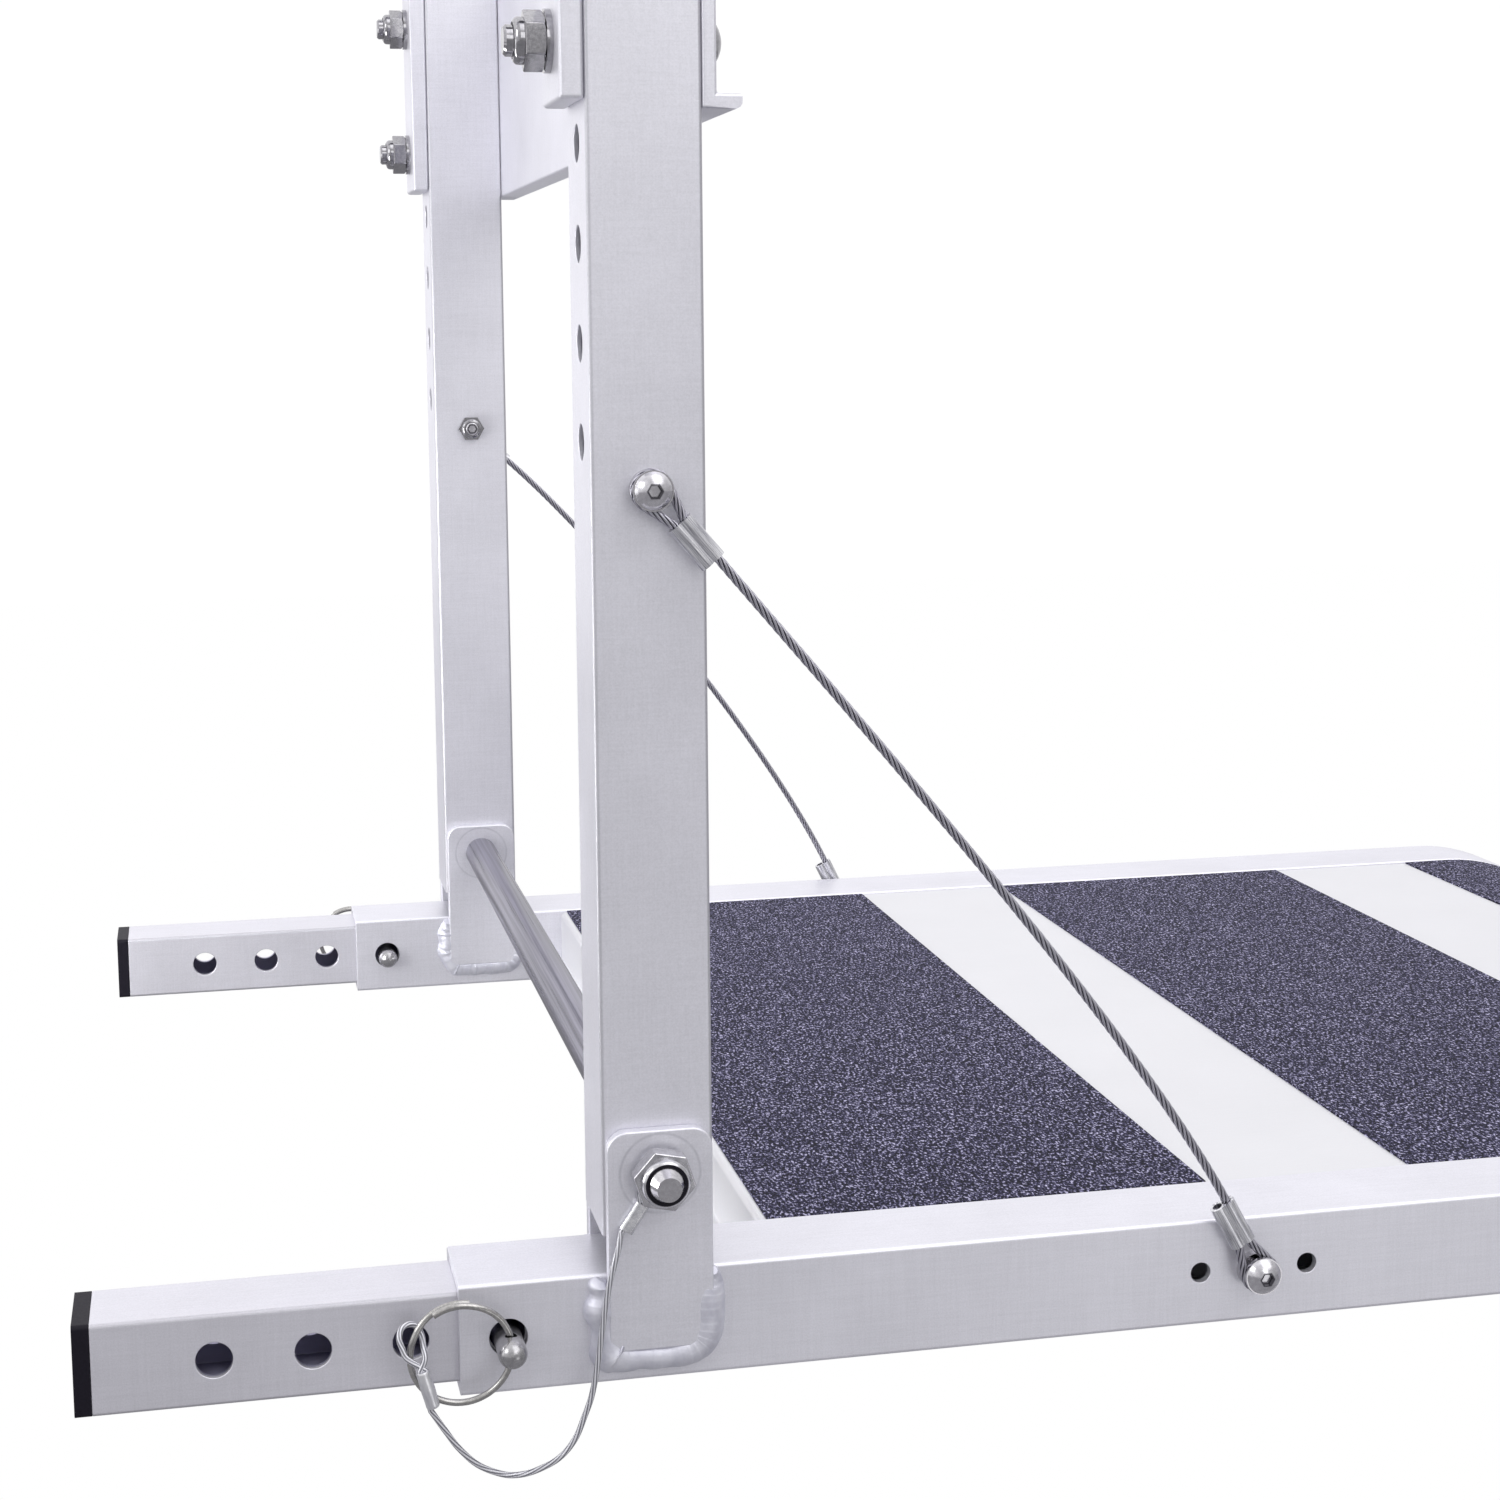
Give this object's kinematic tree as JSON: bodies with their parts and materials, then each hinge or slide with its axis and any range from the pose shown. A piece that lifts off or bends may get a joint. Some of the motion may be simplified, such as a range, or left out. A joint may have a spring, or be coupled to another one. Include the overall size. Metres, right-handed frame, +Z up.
{
  "type": "dog platform",
  "caption": "Folding dog boarding platform with a grip-taped deck and ramp, hinged uprights held by wire ropes, hanger feet, and telescoping stand-off arms locked by pins.",
  "frame": {"origin": "middle of the four bolt holes in the two hanger feet, on the underside of the feet", "axes": "+X points outboard, away from the boat or dock; +Y along its side, to the left of someone facing outboard; +Z up"},
  "size_m": [0.9189, 0.6018, 0.6668],
  "materials": {
    "anodised_aluminium": "satin anodised",
    "weld_aluminium": "rippled weld bead",
    "stainless_steel": "turned and polished",
    "brushed_rod": "drawn tube, dull",
    "pressed_sleeve": "pressed, dull",
    "wire_rope": "laid wire rope",
    "coated_rope": "clear coated wire rope",
    "black_plastic": "moulded, fine grain",
    "grip_tape": "mineral grit"
  },
  "bodies": {
    "upright_frame": {"right_upright": "anodised_aluminium", "left_upright": "anodised_aluminium", "upright_caps": "black_plastic", "right_hanger_bar": "anodised_aluminium", "left_hanger_bar": "anodised_aluminium", "cross_angle": "anodised_aluminium", "hanger_bolts": "stainless_steel", "hanger_washers": "stainless_steel", "hanger_nuts": "stainless_steel", "upper_cable_bolts": "stainless_steel", "upper_cable_spacers": "stainless_steel", "upper_cable_washers": "stainless_steel", "upper_cable_nuts": "stainless_steel", "upper_thimbles": "stainless_steel", "upper_ferrules": "pressed_sleeve", "right_support_cable": "wire_rope", "left_support_cable": "wire_rope"},
    "platform": {"right_rail": "anodised_aluminium", "left_rail": "anodised_aluminium", "rail_end_caps": "black_plastic", "deck_sheet": "anodised_aluminium", "deck_cross_tubes": "anodised_aluminium", "grip_strips": "grip_tape", "right_hinge_ears": "anodised_aluminium", "left_hinge_ears": "anodised_aluminium", "right_ear_welds": "weld_aluminium", "left_ear_welds": "weld_aluminium", "hinge_rod": "stainless_steel", "hinge_spacer_tube": "brushed_rod", "hinge_nuts": "stainless_steel", "hinge_nut_inserts": "black_plastic", "right_arm": "anodised_aluminium", "left_arm": "anodised_aluminium", "arm_caps": "black_plastic", "lower_cable_bolts": "stainless_steel", "lower_cable_spacers": "stainless_steel", "lower_cable_washers": "stainless_steel", "lower_cable_nuts": "stainless_steel", "lower_thimbles": "stainless_steel", "lower_ferrules": "pressed_sleeve", "lanyard_upper_eye": "coated_rope", "lanyard_upper_ferrule": "pressed_sleeve", "lanyard_cord": "coated_rope"},
    "right_pin": {"right_pin": "stainless_steel"},
    "left_pin": {"left_pin": "stainless_steel"},
    "right_ring": {"right_pull_ring": "stainless_steel", "lanyard_lower_ferrule": "pressed_sleeve", "lanyard_lower_eye": "coated_rope"},
    "left_ring": {"left_pull_ring": "stainless_steel"}
  },
  "joints": [
    {"name": "platform_fold", "type": "hinge", "parent": "upright_frame", "child": "platform", "pos_m": [0.086, 0, -0.5123], "axis": [0, -1, 0], "range_deg": [0, 90], "deforming": ["right_support_cable", "left_support_cable"]},
    {"name": "right_pin_pull", "type": "slide", "parent": "platform", "child": "right_pin", "axis": [0, -1, 0], "range_m": [0, 0.06], "deforming": ["lanyard_cord"]},
    {"name": "left_pin_pull", "type": "slide", "parent": "platform", "child": "left_pin", "axis": [0, 1, 0], "range_m": [0, 0.06]},
    {"name": "right_ring_swing", "type": "hinge", "parent": "right_pin", "child": "right_ring", "pos_m": [0.0352, -0.2864, -0.5672], "axis": [0, 0, 1], "range_deg": [0, 90], "deforming": ["lanyard_cord"]},
    {"name": "left_ring_swing", "type": "hinge", "parent": "left_pin", "child": "left_ring", "pos_m": [0.0352, 0.2864, -0.5672], "axis": [0, 0, -1], "range_deg": [0, 90]}
  ]
}
